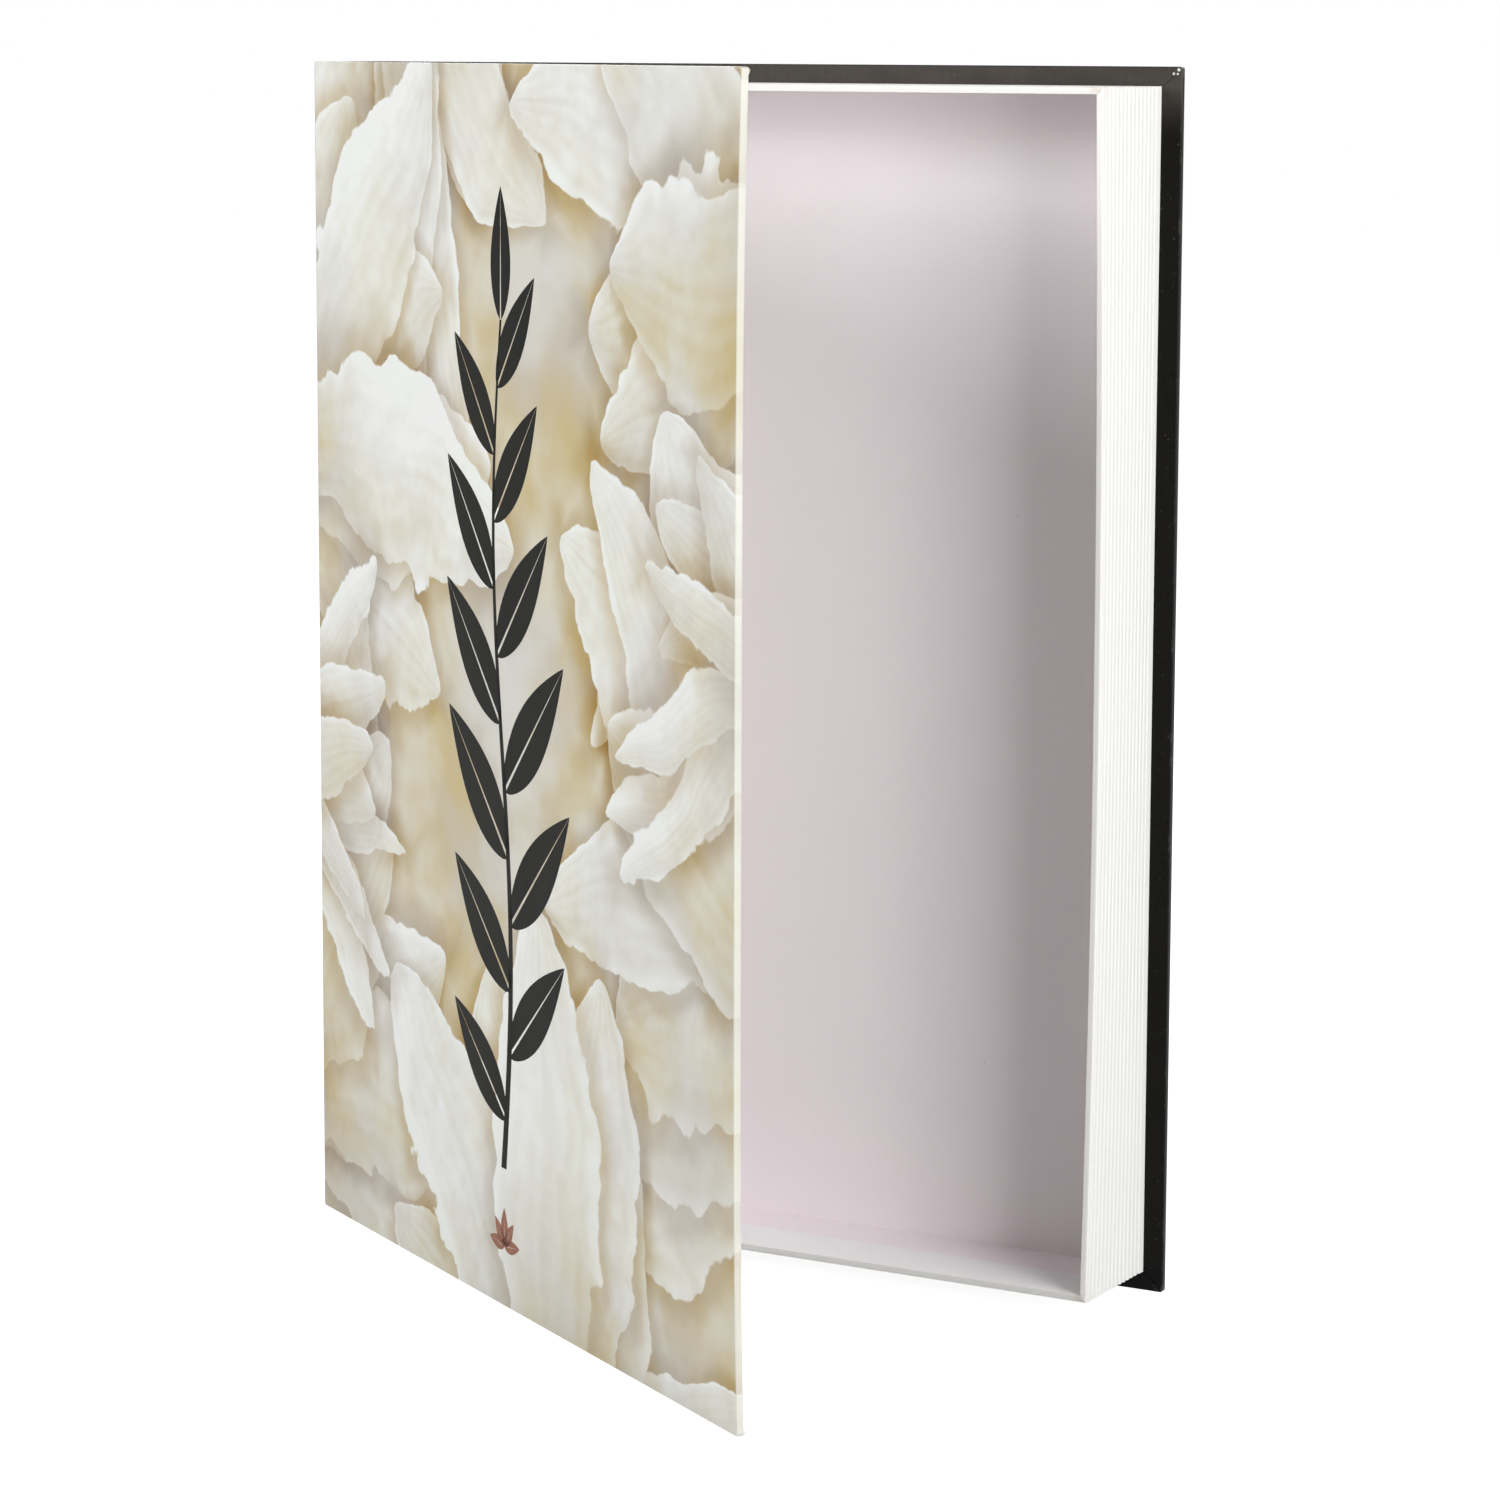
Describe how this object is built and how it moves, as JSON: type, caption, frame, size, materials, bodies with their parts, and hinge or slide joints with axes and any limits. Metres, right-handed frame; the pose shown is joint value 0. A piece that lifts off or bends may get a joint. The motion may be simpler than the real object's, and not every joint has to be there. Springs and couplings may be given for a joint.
{
  "type": "book box",
  "caption": "Keepsake box in the form of a large hardcover book: a shallow white tray with ribbed page edges and a hinged cover board.",
  "frame": {"origin": "middle of the back cover's tail edge, which the box stands on, half way through the cover's thickness", "axes": "+X from the spine to the fore edge, +Y from the reader to the back cover's outer face, +Z from the tail up to the head"},
  "size_m": [0.257, 0.1749, 0.34],
  "materials": {
    "greyboard": "raw greyboard",
    "black_laminate": "gloss laminated black paper",
    "printed_laminate": "gloss laminated paper, printed in ivory, cream and beige",
    "lining_paper": "matt uncoated lining paper, white with a slight lilac tint",
    "page_edge_paper": "matt white paper, embossed in ribs",
    "kraft_tape": "gummed kraft tape"
  },
  "bodies": {
    "box": {"back_board": "greyboard", "back_wrap": "black_laminate", "back_joint_strip": "black_laminate", "spine_board": "greyboard", "spine_wrap": "black_laminate", "front_joint_strip": "black_laminate", "joint_lining": "lining_paper", "tray_floor": "greyboard", "tray_head_wall": "greyboard", "tray_tail_wall": "greyboard", "tray_fore_edge_wall": "greyboard", "tray_spine_wall": "greyboard", "corner_stay_head_spine": "kraft_tape", "corner_stay_head_fore": "kraft_tape", "corner_stay_tail_spine": "kraft_tape", "corner_stay_tail_fore": "kraft_tape", "page_edge_wrap": "page_edge_paper", "spine_side_wrap": "page_edge_paper", "floor_liner": "lining_paper"},
    "cover": {"front_board": "greyboard", "front_wrap": "printed_laminate", "front_lining": "lining_paper"}
  },
  "joints": [
    {"name": "cover_hinge", "type": "hinge", "parent": "box", "child": "cover", "pos_m": [-0.12843, -0.04047, 0.17], "axis": [0, 0, -1], "range_deg": [-31.3, 148.7]}
  ]
}
